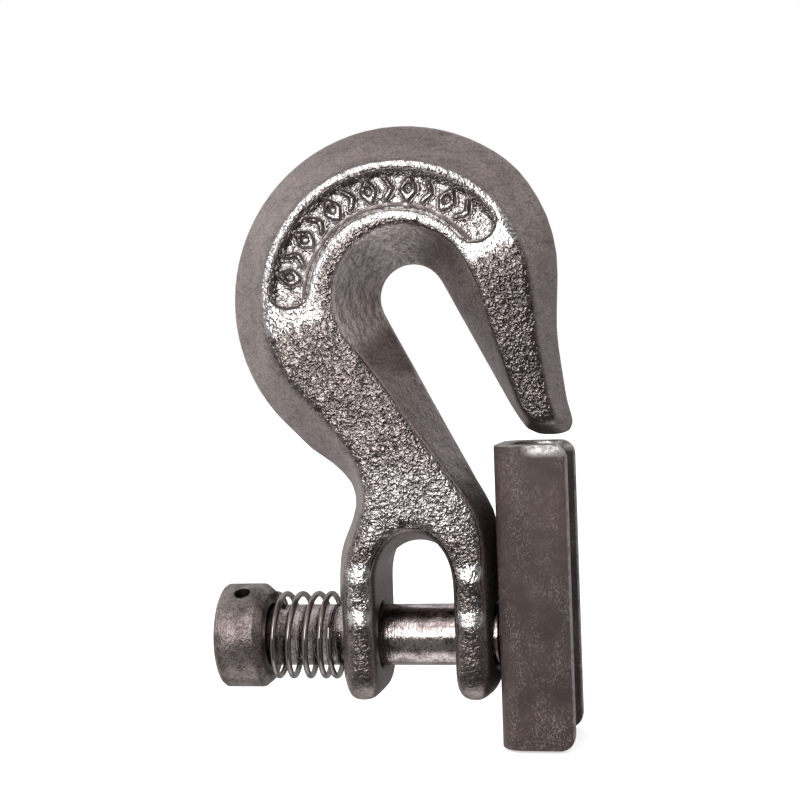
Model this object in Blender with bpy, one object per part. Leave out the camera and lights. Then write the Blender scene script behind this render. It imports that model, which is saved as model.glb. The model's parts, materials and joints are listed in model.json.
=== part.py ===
"""Safety chain hook: a forged clevis grab hook with a spring-loaded twist latch on its load pin.

Frame: the origin is on the load pin's axis, midway between the clevis ears. X runs along the pin,
collar at -X and latch at +X. Y is the depth, and Z points up to the bow of the hook.
"""

import math

import bmesh
import bpy
from mathutils import Vector

MM = 0.001

# Driving dimensions, in metres.
CLEARANCE = 0.3 * MM
CHAIN_SLOT = 12.1 * MM
SLOT_LEAN = math.radians(27.5)
HALF_THICKNESS = 10.0 * MM
TIP_HALF_THICKNESS = 7.0 * MM
CLEVIS_GAP = 14.0 * MM
EAR_LEFT = -15.0 * MM
EAR_RIGHT = 14.8 * MM
EAR_BOTTOM = -11.2 * MM
EAR_ROUND = 6.0 * MM
PIN_RADIUS = 5.55 * MM
NECK_RADIUS = 4.0 * MM
COLLAR_RADIUS = 9.5 * MM
COLLAR_LENGTH = 8.9 * MM
COLLAR_LEAD = (1.6 * MM, 1.3 * MM)
SPRING_RADIUS = 7.5 * MM
SPRING_WIRE = 0.55 * MM
SHEET = 2.5 * MM
LATCH_DEPTH = 13.0 * MM
LATCH_HALF_WIDTH = 10.4 * MM
LATCH_TOP = 34.5 * MM
LATCH_BOTTOM = -18.7 * MM

# Places that follow from them.
BORE_RADIUS = PIN_RADIUS + CLEARANCE
WEB = EAR_RIGHT + CLEARANCE
WASHER_LENGTH = 1.2 * MM
WASHER_FACE = WEB + SHEET + CLEARANCE
HEAD_FACE = WASHER_FACE + WASHER_LENGTH + CLEARANCE
HEAD_RADIUS = 5.6 * MM
HEAD_HEIGHT = 2.4 * MM
COLLAR_RIGHT = -28.0 * MM
COLLAR_LEFT = COLLAR_RIGHT - COLLAR_LENGTH
PIN_END = COLLAR_LEFT + 0.8 * MM
ROLL_PIN_RADIUS = 1.25 * MM
ROLL_PIN_WALL = 0.4 * MM
ROLL_PIN_LENGTH = 16.0 * MM
CROSS_HOLE_RADIUS = ROLL_PIN_RADIUS + 0.25 * MM
CROSS_HOLE_TILT = math.radians(62.5)

BOW_CENTRE = Vector((-1.7, 61.0)) * MM
BOW_RADIUS = 31.4 * MM
FACE_CENTRE = Vector((-1.0, 60.6)) * MM
FACE_RADIUS = 23.9 * MM
SLOT_CENTRE = Vector((0.45, 61.25)) * MM
SLOT_FACE_CENTRE = Vector((0.3, 61.0)) * MM
SLOT_FACE_RADIUS = 13.2 * MM
ARCH_CENTRE = Vector((0.3, 10.3)) * MM
ARCH_FACE_TOP = 20.2 * MM

# The kidney-shaped pocket on each face of the bow.
POCKET_INNER = 15.8 * MM
POCKET_OUTER = 23.2 * MM
POCKET_START = math.radians(40)
POCKET_END = math.radians(173.5)
POCKET_DEPTH = 0.9 * MM
POCKET_CAP = 3.1 * MM

# Where the jaw starts to thin towards its tip, and how far inwards that reaches.
TIP_TAPER_TOP = 64.0 * MM
JAW_INSIDE = 10.5 * MM

# How the flank runs from the parting line to the face: share of the half thickness, share of the inset.
FLANK = ((0.07, 0.0), (0.80, 0.74), (0.93, 0.885), (1.0, 1.0))

# The forging's outline at the parting line, in millimetres: x, z, then the step in x and z to the
# edge of the flat face. The bow, the slot's round end and the clevis arch are arcs between these.
LEFT_SIDE = (
    (-10.8, -11.3, 0.0, 0.2),
    (-13.0, -10.3, 1.2, 0.3),
    (-14.6, -7.8, 2.7, 0.1),
    (-15.0, -4.0, 3.0, 0.0),
    (-15.0, 2.0, 3.0, 0.0),
    (-15.0, 8.0, 3.0, 0.0),
    (-14.5, 15.2, 3.0, 0.0),
    (-12.9, 19.4, 3.2, 0.6),
    (-11.4, 23.6, 3.4, 0.6),
    (-12.0, 27.8, 3.9, 0.8),
    (-15.4, 31.5, 5.6, 2.2),
    (-19.2, 34.2, 6.5, 3.6),
)
JAW_SIDE = (
    (22.0, 81.0, -4.7, -5.0),
    (25.2, 74.8, -5.0, -3.0),
    (26.7, 68.0, -4.5, -1.2),
    (26.6, 61.0, -3.7, 0.0),
    (26.3, 54.5, -3.1, 0.0),
    (26.9, 48.0, -3.1, 0.0),
    (27.8, 41.5, -3.2, 0.5),
    (28.7, 37.9, -3.2, 2.0),
    (28.0, 36.3, -2.8, 3.0),
    (26.2, 35.8, -1.7, 3.2),
    (22.6, 35.9, 0.6, 3.2),
    (20.5, 36.9, 1.8, 2.4),
)
# Heights along the slot's two walls, with the step in x and z to the edge of the face.
SLOT_RIGHT_WALL = (
    (41.0, 3.0, 0.5),
    (45.5, 4.0, 0.4),
    (50.0, 5.0, 0.3),
    (54.5, 5.8, 0.4),
    (59.0, 6.6, 0.8),
)
SLOT_LEFT_WALL = (
    (52.0, -7.4, 0.0),
    (48.0, -6.4, 0.0),
    (44.0, -5.5, 0.0),
    (40.0, -4.9, 0.0),
    (36.0, -4.3, 0.0),
    (28.0, -2.4, 0.0),
    (22.5, -2.0, 0.0),
)
RIGHT_EAR = (
    (14.8, 17.0, -1.8, 0.0),
    (14.8, 8.0, -1.6, 0.0),
    (14.8, 0.0, -1.6, 0.0),
    (14.7, -5.6, -1.6, 0.0),
    (14.2, -8.6, -1.6, 0.1),
    (12.8, -10.6, -0.9, 0.3),
    (11.0, -11.3, 0.0, 0.2),
    (9.2, -11.1, 0.0, 0.2),
    (7.8, -10.1, 0.0, 0.2),
    (7.3, -8.0, 0.0, 0.0),
    (7.3, -5.3, 0.0, 0.0),
    (7.3, -3.0, 0.0, 0.0),
    (7.3, 3.0, 0.0, 0.0),
    (7.3, 7.6, 0.0, 0.0),
)
# The spring: turns wound since the collar, and how far the wire's centre has moved along X by then.
SPRING_LEAD = ((0.0, 0.0), (0.5, 0.45), (1.5, 3.2), (2.5, 6.4), (3.5, 9.35), (4.5, 11.4), (4.8, 11.6))
SPRING_START = COLLAR_RIGHT + SPRING_WIRE + 0.2 * MM
LEFT_EAR_INSIDE = (
    (-6.7, 7.6, 0.0, 0.0),
    (-6.7, 3.0, 0.0, 0.0),
    (-6.7, -3.0, 0.0, 0.0),
    (-6.7, -5.3, 0.0, 0.0),
    (-6.7, -8.0, 0.0, 0.0),
    (-7.2, -10.1, 0.0, 0.2),
    (-8.7, -11.1, 0.0, 0.2),
)


def clear_scene():
    """Remove every object that the startup scene holds."""
    for item in list(bpy.data.objects):
        bpy.data.objects.remove(item, do_unlink=True)


def steel(name, colour, roughness):
    """A bare steel finish."""
    material = bpy.data.materials.new(name)
    material.use_nodes = True
    shader = material.node_tree.nodes["Principled BSDF"]
    shader.inputs["Base Color"].default_value = (*colour, 1.0)
    shader.inputs["Roughness"].default_value = roughness
    shader.inputs["Metallic"].default_value = 1.0
    material.diffuse_color = (*colour, 1.0)
    return material


def link(name, mesh, material=None, parent=None):
    """Put a mesh in the scene as one named object."""
    item = bpy.data.objects.new(name, mesh)
    item.parent = parent
    if material:
        mesh.materials.append(material)
    bpy.context.scene.collection.objects.link(item)
    return item


def finish(bm, name, sharp=math.radians(32)):
    """Turn a bmesh into a smooth-shaded mesh that keeps its hard edges."""
    bmesh.ops.recalc_face_normals(bm, faces=bm.faces)
    mesh = bpy.data.meshes.new(name)
    bm.to_mesh(mesh)
    bm.free()
    mesh.shade_smooth()
    mesh.set_sharp_from_angle(angle=sharp)
    return mesh


def cut(item, cutter, operation="DIFFERENCE"):
    """Add a Boolean to an object and hide its cutter."""
    cutter.hide_render = True
    cutter.display_type = "WIRE"
    boolean = item.modifiers.new(cutter.name, "BOOLEAN")
    boolean.operation = operation
    boolean.solver = "EXACT"
    boolean.object = cutter


def extruded(name, points, start, end, axis):
    """A helper solid: a closed outline of 2-D points, extruded from start to end along axis X, Y or Z."""
    place = {
        "X": lambda a, b, c: (c, a, b),
        "Y": lambda a, b, c: (a, c, b),
        "Z": lambda a, b, c: (a, b, c),
    }[axis]
    bm = bmesh.new()
    rings = [[bm.verts.new(place(a, b, level)) for a, b in points] for level in (start, end)]
    edges = [bm.edges.new((ring[i - 1], ring[i])) for ring in rings for i in range(len(ring))]
    bmesh.ops.bridge_loops(bm, edges=edges)
    for ring in rings:
        bm.faces.new(ring)
    return link(name, finish(bm, name))


def turned(name, profile, segments=40):
    """A mesh turned about X from (x, radius) points, closed on the axis or, as a ring, on itself."""
    bm = bmesh.new()
    points = [bm.verts.new((x, 0.0, radius)) for x, radius in profile]
    solid = profile[0][1] == 0.0
    pairs = zip(points, points[1:]) if solid else zip(points, points[1:] + points[:1])
    edges = [bm.edges.new(pair) for pair in pairs]
    bmesh.ops.spin(
        bm,
        geom=points + edges,
        cent=(0, 0, 0),
        axis=(1, 0, 0),
        angle=math.tau,
        steps=segments,
        use_merge=True,
    )
    bmesh.ops.remove_doubles(bm, verts=bm.verts, dist=0.001 * MM)
    return finish(bm, name)


def rod(name, radius, start, end, segments=32):
    """A plain cutter bar along X."""
    profile = ((start, 0.0), (start, radius), (end, radius), (end, 0.0))
    return link(name, turned(name, profile, segments))


def arc(centre, radius, first, last, steps):
    """Points on an arc in the X-Z plane, both ends included."""
    turns = [first + (last - first) * i / steps for i in range(steps + 1)]
    return [centre + Vector((math.cos(turn), math.sin(turn))) * radius for turn in turns]


def arc_stations(centre, radius, face_centre, face_radius, first, last, steps):
    """Stations along an arc: each parting-line point with its face point."""
    edge = arc(centre, radius, first, last, steps)
    face = arc(face_centre, face_radius, first, last, steps)
    return [(*p, *q) for p, q in zip(edge, face)]


def listed(rows):
    """Stations from a table of millimetres."""
    return [(x * MM, z * MM, (x + dx) * MM, (z + dz) * MM) for x, z, dx, dz in rows]


def slot_wall(rows, side):
    """Stations on one straight wall of the slot."""
    across = Vector((math.cos(SLOT_LEAN), math.sin(SLOT_LEAN)))
    offset = SLOT_CENTRE.dot(across) + side * CHAIN_SLOT / 2
    stations = []
    for z, dx, dz in rows:
        x = (offset - across.y * z * MM) / across.x
        stations.append((x, z * MM, x + dx * MM, (z + dz) * MM))
    return stations


def arch_stations(steps=12):
    """Stations round the top of the clevis gap, whose face edge is a taller ellipse."""
    stations = []
    for i in range(steps + 1):
        turn = math.pi * i / steps
        x, rise = math.cos(turn), math.sin(turn)
        stations.append(
            (
                ARCH_CENTRE.x + x * CLEVIS_GAP / 2,
                ARCH_CENTRE.y + rise * CLEVIS_GAP / 2,
                ARCH_CENTRE.x + x * CLEVIS_GAP / 2,
                ARCH_CENTRE.y + rise * (ARCH_FACE_TOP - ARCH_CENTRE.y),
            )
        )
    return stations


def outline_stations():
    """Every station round the forging, up the left side and back down through slot, shank and clevis."""
    lean = SLOT_LEAN
    bow = arc_stations(
        BOW_CENTRE, BOW_RADIUS, FACE_CENTRE, FACE_RADIUS, math.radians(229), math.radians(50), 18
    )
    slot = arc_stations(
        SLOT_CENTRE, CHAIN_SLOT / 2, SLOT_FACE_CENTRE, SLOT_FACE_RADIUS, lean, lean + math.pi, 12
    )
    return (
        listed(LEFT_SIDE)
        + bow
        + listed(JAW_SIDE)
        + slot_wall(SLOT_RIGHT_WALL, 1)
        + slot
        + slot_wall(SLOT_LEFT_WALL, -1)
        + listed(RIGHT_EAR)
        + arch_stations()
        + listed(LEFT_EAR_INSIDE)
    )


def smooth_loop(stations):
    """A closed Catmull-Rom curve through the stations, with one extra point in each gap over 3 mm."""
    count = len(stations)
    points = []
    for i in range(count):
        before, here, after, beyond = (Vector(stations[(i + k) % count]) for k in (-1, 0, 1, 2))
        points.append(here)
        if math.dist(here[:2], after[:2]) > 3.0 * MM:
            points.append((here + after) * 9 / 16 - (before + beyond) / 16)
    return points


def hook_mesh():
    """The forging before its holes: rings from the parting line out to the flat face on each side."""
    stations = smooth_loop(outline_stations())
    levels = [(-depth, inset) for depth, inset in reversed(FLANK)] + list(FLANK)
    bm = bmesh.new()
    rings = []
    for depth, inset in levels:
        ring = []
        for x, z, face_x, face_z in stations:
            y = depth * HALF_THICKNESS
            ring.append(bm.verts.new((x + (face_x - x) * inset, y, z + (face_z - z) * inset)))
        rings.append(ring)
    for near, far in zip(rings, rings[1:]):
        for i in range(len(near)):
            bm.faces.new((near[i - 1], near[i], far[i], far[i - 1]))
    bm.faces.new(rings[0])
    bm.faces.new(rings[-1])
    return finish(bm, "hook_body", math.radians(24))


def pocket_cutter(side):
    """A kidney-shaped cutter that sinks the pocket into one face; side is -1 or 1."""
    middle = (POCKET_INNER + POCKET_OUTER) / 2
    half = (POCKET_OUTER - POCKET_INNER) / 2
    points = []
    for centre_turn, way in ((POCKET_START, -1), (POCKET_END, 1)):
        end = FACE_CENTRE + Vector((math.cos(centre_turn), math.sin(centre_turn))) * middle
        outward = Vector((math.cos(centre_turn), math.sin(centre_turn)))
        along = Vector((-outward.y, outward.x)) * way
        for i in range(7):
            turn = math.pi * i / 6
            points.append(end + outward * (way * half * math.cos(turn)) + along * (POCKET_CAP * math.sin(turn)))
        first, last = (POCKET_START, POCKET_END) if way < 0 else (POCKET_END, POCKET_START)
        radius = POCKET_OUTER if way < 0 else POCKET_INNER
        points += arc(FACE_CENTRE, radius, first, last, 20)[1:-1]
    face = side * HALF_THICKNESS
    floor = face - side * POCKET_DEPTH
    name = "pocket_cutter_front" if side < 0 else "pocket_cutter_back"
    return extruded(name, points, floor, face + side * MM, "Y")


def tip_cutter(side):
    """A wedge that thins the jaw towards its tip on one face; side is -1 or 1."""
    start = TIP_TAPER_TOP
    low = LATCH_TOP - 5 * MM
    fall = (HALF_THICKNESS - TIP_HALF_THICKNESS) / (start - LATCH_TOP)
    outside = side * (HALF_THICKNESS + MM)
    points = (
        (outside, low),
        (side * (HALF_THICKNESS - fall * (start - low)), low),
        (side * (HALF_THICKNESS + fall * MM), start + MM),
        (outside, start + MM),
    )
    name = "tip_cutter_front" if side < 0 else "tip_cutter_back"
    return extruded(name, points, JAW_INSIDE, 40 * MM, "X")


def ear_envelope():
    """The forging's outline seen along X: flat sides, and rounded corners under the ears."""
    wide = HALF_THICKNESS + MM
    centre = Vector((HALF_THICKNESS - EAR_ROUND, EAR_BOTTOM + EAR_ROUND))
    right = arc(centre, EAR_ROUND, -math.pi / 2, 0, 8)
    left = [Vector((-y, z)) for y, z in reversed(right)]
    points = [*right, (wide, 0.0), (wide, 95 * MM), (-wide, 95 * MM), (-wide, 0.0), *left]
    return extruded("ear_envelope", points, -60 * MM, 60 * MM, "X")


def make_hook():
    """The forged hook with its load pin bore and the pocket on each face."""
    hook = link("hook_body", hook_mesh(), steel("forged_steel", (0.16, 0.14, 0.13), 0.42))
    cut(hook, ear_envelope(), "INTERSECT")
    cut(hook, rod("bore_cutter", BORE_RADIUS, -30 * MM, 30 * MM))
    for side in (-1, 1):
        cut(hook, tip_cutter(side))
        cut(hook, pocket_cutter(side))


def cross_hole(name, parent):
    """The cutter for the roll pin's hole, through collar and pin."""
    bm = bmesh.new()
    bmesh.ops.create_cone(
        bm,
        cap_ends=True,
        segments=20,
        radius1=CROSS_HOLE_RADIUS,
        radius2=CROSS_HOLE_RADIUS,
        depth=3 * COLLAR_RADIUS,
    )
    cutter = link(name, finish(bm, name), parent=parent)
    cutter.rotation_euler = (math.pi / 2 - CROSS_HOLE_TILT, 0, 0)
    cutter.location = ((COLLAR_LEFT + COLLAR_RIGHT) / 2, 0, 0)
    return cutter


def make_load_pin(slide):
    """The shouldered load pin, with its chamfered collar end and its peened head in the latch."""
    chamfer = 0.7 * MM
    shoulder = WEB - CLEARANCE
    top = HEAD_FACE + HEAD_HEIGHT
    profile = (
        (PIN_END, 0.0),
        (PIN_END, PIN_RADIUS - chamfer),
        (PIN_END + chamfer, PIN_RADIUS),
        (shoulder, PIN_RADIUS),
        (shoulder, NECK_RADIUS),
        (HEAD_FACE, NECK_RADIUS),
        (HEAD_FACE, HEAD_RADIUS - 0.3 * MM),
        (HEAD_FACE + 0.5 * MM, HEAD_RADIUS),
        (HEAD_FACE + 1.2 * MM, HEAD_RADIUS - 0.2 * MM),
        (HEAD_FACE + 1.9 * MM, HEAD_RADIUS - 1.3 * MM),
        (top, HEAD_RADIUS - 3.0 * MM),
        (top, 0.0),
    )
    finish_coat = steel("turned_steel", (0.30, 0.27, 0.25), 0.35)
    pin = link("load_pin", turned("load_pin", profile), finish_coat, slide)
    cut(pin, cross_hole("pin_cross_hole", slide))


def make_collar(slide):
    """The collar that the spring pushes on, with a wide lead on the spring's side."""
    chamfer = 0.7 * MM
    lead, drop = COLLAR_LEAD
    profile = (
        (COLLAR_LEFT, BORE_RADIUS),
        (COLLAR_LEFT, COLLAR_RADIUS - chamfer),
        (COLLAR_LEFT + chamfer, COLLAR_RADIUS),
        (COLLAR_RIGHT - lead, COLLAR_RADIUS),
        (COLLAR_RIGHT, COLLAR_RADIUS - drop),
        (COLLAR_RIGHT, BORE_RADIUS),
    )
    finish_coat = steel("collar_steel", (0.20, 0.18, 0.17), 0.5)
    collar = link("collar", turned("collar", profile, 48), finish_coat, slide)
    cut(collar, cross_hole("collar_cross_hole", slide))


def make_roll_pin(slide):
    """The slotted spring pin that holds the collar on the load pin."""
    slit = math.radians(32)
    steps = 16
    inner = ROLL_PIN_RADIUS - ROLL_PIN_WALL
    turns = [slit / 2 + (math.tau - slit) * i / steps for i in range(steps + 1)]
    outside = [(math.cos(turn) * ROLL_PIN_RADIUS, math.sin(turn) * ROLL_PIN_RADIUS) for turn in turns]
    inside = [(math.cos(turn) * inner, math.sin(turn) * inner) for turn in reversed(turns)]
    pin = extruded("roll_pin", outside + inside, -ROLL_PIN_LENGTH / 2, ROLL_PIN_LENGTH / 2, "Z")
    pin.data.materials.append(steel("spring_pin_steel", (0.10, 0.09, 0.09), 0.4))
    pin.rotation_euler = (math.pi / 2 - CROSS_HOLE_TILT, 0, 0)
    pin.location = ((COLLAR_LEFT + COLLAR_RIGHT) / 2, 0, 0)
    pin.parent = slide


def make_spring():
    """The left-hand compression spring, closed against the collar, as one swept wire."""
    per_turn = 20
    points = []
    for i in range(int(SPRING_LEAD[-1][0] * per_turn) + 1):
        turn = i / per_turn
        before, after = next(pair for pair in zip(SPRING_LEAD, SPRING_LEAD[1:]) if turn <= pair[1][0])
        share = (turn - before[0]) / (after[0] - before[0])
        x = SPRING_START + (before[1] + (after[1] - before[1]) * share) * MM
        y = math.sin(math.tau * turn) * SPRING_RADIUS
        z = math.cos(math.tau * turn) * SPRING_RADIUS
        points.append((x, y, z))
    curve = bpy.data.curves.new("spring", "CURVE")
    curve.dimensions = "3D"
    curve.bevel_depth = SPRING_WIRE
    curve.bevel_resolution = 2
    curve.use_fill_caps = True
    wire = curve.splines.new("POLY")
    wire.points.add(len(points) - 1)
    for point, place in zip(wire.points, points):
        point.co = (*place, 1.0)
    spring = bpy.data.objects.new("spring", curve)
    curve.materials.append(steel("spring_wire", (0.35, 0.33, 0.31), 0.3))
    bpy.context.scene.collection.objects.link(spring)


def rounded(corners, radii, steps=5):
    """A polygon whose corners are rounded by the given radii, zero for a sharp one."""
    points = []
    for i, (corner, radius) in enumerate(zip(corners, radii)):
        here = Vector(corner)
        if not radius:
            points.append(here)
            continue
        back = (Vector(corners[i - 1]) - here).normalized()
        ahead = (Vector(corners[(i + 1) % len(corners)]) - here).normalized()
        centre = here + (back + ahead) * radius
        for step in range(steps + 1):
            turn = math.pi / 2 * step / steps
            points.append(centre - ahead * radius * math.cos(turn) - back * radius * math.sin(turn))
    return points


def make_latch(latch):
    """The folded channel: its U section, cut to its side view and to its end view, with the neck's hole."""
    outer, inner, bend = LATCH_HALF_WIDTH, LATCH_HALF_WIDTH - SHEET, 4.0 * MM
    edge = WEB + LATCH_DEPTH
    corners = (
        (WEB, -outer),
        (edge, -outer),
        (edge, -inner),
        (WEB + SHEET, -inner),
        (WEB + SHEET, inner),
        (edge, inner),
        (edge, outer),
        (WEB, outer),
    )
    fold = bend - SHEET
    section = rounded(corners, (bend, 0, 0, fold, fold, 0, 0, bend))
    channel = extruded("latch_channel", section, LATCH_BOTTOM, LATCH_TOP, "Z")
    channel.data.materials.append(steel("mill_scale_sheet", (0.13, 0.11, 0.11), 0.45))
    channel.parent = latch
    over = WEB - MM
    corner = 2.6 * MM
    box = ((over, LATCH_BOTTOM), (edge, LATCH_BOTTOM), (edge, LATCH_TOP), (over, LATCH_TOP))
    side = rounded(box, (0, corner, corner, 0), 6)
    cut(channel, extruded("latch_side_view", side, -2 * outer, 2 * outer, "Y"), "INTERSECT")
    bevel = 2.0 * MM
    wide = outer + MM
    rise = LATCH_TOP - bevel - MM
    end_view = (
        (-wide, 2 * LATCH_BOTTOM),
        (wide, 2 * LATCH_BOTTOM),
        (wide, rise),
        (outer - bevel, LATCH_TOP),
        (bevel - outer, LATCH_TOP),
        (-wide, rise),
    )
    cut(channel, extruded("latch_end_view", end_view, 0, 2 * edge, "X"), "INTERSECT")
    cut(channel, rod("latch_neck_hole", NECK_RADIUS + CLEARANCE, 0, WEB + SHEET + MM))


def make_washer(latch):
    """The washer between the latch and the pin's peened head."""
    profile = (
        (WASHER_FACE, NECK_RADIUS + CLEARANCE),
        (WASHER_FACE, HEAD_RADIUS + 0.9 * MM),
        (WASHER_FACE + WASHER_LENGTH, HEAD_RADIUS + 0.9 * MM),
        (WASHER_FACE + WASHER_LENGTH, NECK_RADIUS + CLEARANCE),
    )
    finish_coat = steel("washer_steel", (0.32, 0.30, 0.28), 0.35)
    link("latch_washer", turned("latch_washer", profile, 32), finish_coat, latch)


def main():
    clear_scene()
    slide = bpy.data.objects.new("pin_slide", None)
    latch = bpy.data.objects.new("latch_turn", None)
    latch.parent = slide
    for axis in (slide, latch):
        bpy.context.scene.collection.objects.link(axis)
    make_hook()
    make_load_pin(slide)
    make_collar(slide)
    make_roll_pin(slide)
    make_spring()
    make_latch(latch)
    make_washer(latch)


main()
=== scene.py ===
"""Looks of a forged safety chain hook: its finished pieces, their finishes, and a small studio."""

import json
import logging
import math
from collections.abc import Callable, Iterable, Sequence
from dataclasses import dataclass, field
from enum import Enum

import bmesh
import bpy
import numpy as np
from mathutils import Matrix, Vector, noise

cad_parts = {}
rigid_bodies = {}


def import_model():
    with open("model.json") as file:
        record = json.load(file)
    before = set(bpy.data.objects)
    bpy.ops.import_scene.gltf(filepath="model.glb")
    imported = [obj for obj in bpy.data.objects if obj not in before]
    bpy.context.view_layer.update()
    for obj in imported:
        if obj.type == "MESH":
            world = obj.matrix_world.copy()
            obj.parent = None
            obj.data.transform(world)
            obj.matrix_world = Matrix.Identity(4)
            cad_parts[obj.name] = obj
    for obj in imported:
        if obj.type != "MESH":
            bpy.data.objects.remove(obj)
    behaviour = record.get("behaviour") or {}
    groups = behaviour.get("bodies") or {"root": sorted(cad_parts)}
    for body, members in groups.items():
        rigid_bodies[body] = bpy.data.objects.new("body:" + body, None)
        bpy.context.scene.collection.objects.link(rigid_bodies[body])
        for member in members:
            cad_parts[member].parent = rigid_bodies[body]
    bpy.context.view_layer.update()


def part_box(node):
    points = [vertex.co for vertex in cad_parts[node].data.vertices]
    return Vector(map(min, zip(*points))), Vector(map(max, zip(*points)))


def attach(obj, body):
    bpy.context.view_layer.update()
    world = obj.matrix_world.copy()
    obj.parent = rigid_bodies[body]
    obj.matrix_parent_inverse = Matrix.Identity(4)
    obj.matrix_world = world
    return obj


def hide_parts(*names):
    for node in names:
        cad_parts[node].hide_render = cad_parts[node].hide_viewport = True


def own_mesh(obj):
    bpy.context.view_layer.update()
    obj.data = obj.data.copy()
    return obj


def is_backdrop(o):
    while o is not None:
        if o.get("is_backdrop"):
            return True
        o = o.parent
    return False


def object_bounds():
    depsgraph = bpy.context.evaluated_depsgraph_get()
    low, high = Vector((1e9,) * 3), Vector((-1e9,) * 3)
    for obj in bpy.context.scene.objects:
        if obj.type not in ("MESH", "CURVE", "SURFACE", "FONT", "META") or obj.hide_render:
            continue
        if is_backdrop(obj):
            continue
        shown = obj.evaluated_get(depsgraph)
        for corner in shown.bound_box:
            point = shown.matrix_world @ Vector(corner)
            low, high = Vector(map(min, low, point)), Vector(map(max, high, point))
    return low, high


MM = 0.001
X_AXIS = Vector((1.0, 0.0, 0.0))
LOG = logging.getLogger("chain_hook")

Colour = tuple[float, float, float]


class Body(Enum):
    """The rigid bodies that pieces ride on."""

    HOOK = "hook"
    PIN = "pin"
    LATCH = "latch"


class Mark(Enum):
    """The raised devices in the pocket, each a set of bars: (across, up, length, turn) in mm and degrees."""

    LOZENGE = (
        (-0.62, 1.0, 2.55, 58.0),
        (0.62, 1.0, 2.55, -58.0),
        (-0.62, -1.0, 2.55, -58.0),
        (0.62, -1.0, 2.55, 58.0),
    )
    CHEVRON = (
        (0.0, 0.95, 2.6, -53.6),
        (0.0, -0.95, 2.6, 53.6),
    )


# ---------------------------------------------------------------------------------------------
# Mesh helpers


def settle(bm: bmesh.types.BMesh, name: str, sharp: float = 40.0) -> bpy.types.Object:
    """Turn a finished bmesh into an object at the origin, with its normals outwards.

    Args:
        bm: the mesh; it is freed.
        name: the object's name.
        sharp: edges turned by more than this many degrees stay crisp.

    Returns:
        The new object, linked to the scene.
    """
    bmesh.ops.remove_doubles(bm, verts=bm.verts, dist=0.001 * MM)
    bmesh.ops.recalc_face_normals(bm, faces=bm.faces)
    mesh = bpy.data.meshes.new(name)
    bm.to_mesh(mesh)
    bm.free()
    mesh.shade_smooth()
    mesh.set_sharp_from_angle(angle=math.radians(sharp))
    piece = bpy.data.objects.new(name, mesh)
    bpy.context.scene.collection.objects.link(piece)
    return piece


def applied(piece: bpy.types.Object, sharp: float = 40.0) -> bpy.types.Object:
    """Bake an object's modifiers into its mesh.

    Args:
        piece: the object whose modifiers are applied and removed.
        sharp: edges turned by more than this many degrees stay crisp.

    Returns:
        The same object.
    """
    graph = bpy.context.evaluated_depsgraph_get()
    mesh = bpy.data.meshes.new_from_object(piece.evaluated_get(graph))
    piece.modifiers.clear()
    piece.data = mesh
    mesh.shade_smooth()
    mesh.set_sharp_from_angle(angle=math.radians(sharp))
    return piece


def drilled(piece: bpy.types.Object, drill: bpy.types.Object, sharp: float = 40.0) -> bpy.types.Object:
    """Cut one object out of another and throw the cutter away.

    Args:
        piece: what is cut.
        drill: the cutter.
        sharp: edges turned by more than this many degrees stay crisp.

    Returns:
        The cut object.
    """
    hole = piece.modifiers.new("hole", "BOOLEAN")
    hole.operation = "DIFFERENCE"
    hole.solver = "EXACT"
    hole.object = drill
    applied(piece, sharp)
    bpy.data.objects.remove(drill, do_unlink=True)
    return piece


def turned(
    name: str, profile: Sequence[tuple[float, float]], steps: int = 128, sharp: float = 40.0
) -> bpy.types.Object:
    """A piece turned on the X axis.

    Args:
        name: the object's name.
        profile: (x, radius) points in metres, ending on the axis or running round a ring's section.
        steps: how many faces go round.
        sharp: edges turned by more than this many degrees stay crisp.

    Returns:
        The turned object.
    """
    bm = bmesh.new()
    points = [bm.verts.new((x, 0.0, radius)) for x, radius in profile]
    edges = [bm.edges.new(pair) for pair in zip(points, points[1:])]
    if profile[0][1] > 0.0:
        edges.append(bm.edges.new((points[-1], points[0])))
    bmesh.ops.spin(
        bm, geom=points + edges, cent=(0, 0, 0), axis=X_AXIS, angle=math.tau, steps=steps, use_merge=True
    )
    return settle(bm, name, sharp)


def drill_bit(radius: float, length: float, place: Matrix) -> bpy.types.Object:
    """A straight cutter.

    Args:
        radius: the drill's radius.
        length: its full length along its own Z.
        place: where it goes.

    Returns:
        The cutter as an object.
    """
    bm = bmesh.new()
    bmesh.ops.create_cone(
        bm, cap_ends=True, segments=48, radius1=radius, radius2=radius, depth=length, matrix=place
    )
    return settle(bm, "drill_bit")


def cad_copy(node: str) -> bmesh.types.BMesh:
    """A merged copy of a CAD node's mesh.

    Args:
        node: the CAD node's name.

    Returns:
        The copy as a bmesh.
    """
    bm = bmesh.new()
    bm.from_mesh(bpy.data.objects[node].data)
    bmesh.ops.remove_doubles(bm, verts=bm.verts, dist=0.001 * MM)
    return bm


def store(mesh: bpy.types.Mesh, name: str, values: np.ndarray) -> None:
    """Write one number per vertex as a named attribute.

    Args:
        mesh: the mesh that gets the attribute.
        name: the attribute's name.
        values: one number for each vertex.
    """
    layer = mesh.attributes.new(name, "FLOAT", "POINT")
    layer.data.foreach_set("value", values.astype(np.float32))


def vectors(items: bpy.types.bpy_prop_collection, name: str) -> np.ndarray:
    """Read a vector property of a mesh's items, as one row of three numbers each."""
    rows = np.empty(len(items) * 3, np.float32)
    items.foreach_get(name, rows)
    return rows.reshape(-1, 3).astype(float)


def fade(values: np.ndarray, low: float, high: float) -> np.ndarray:
    """A smooth step from 0 at low to 1 at high; low may be the larger."""
    share = np.clip((values - low) / (high - low), 0.0, 1.0)
    return share * share * (3.0 - 2.0 * share)


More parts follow.
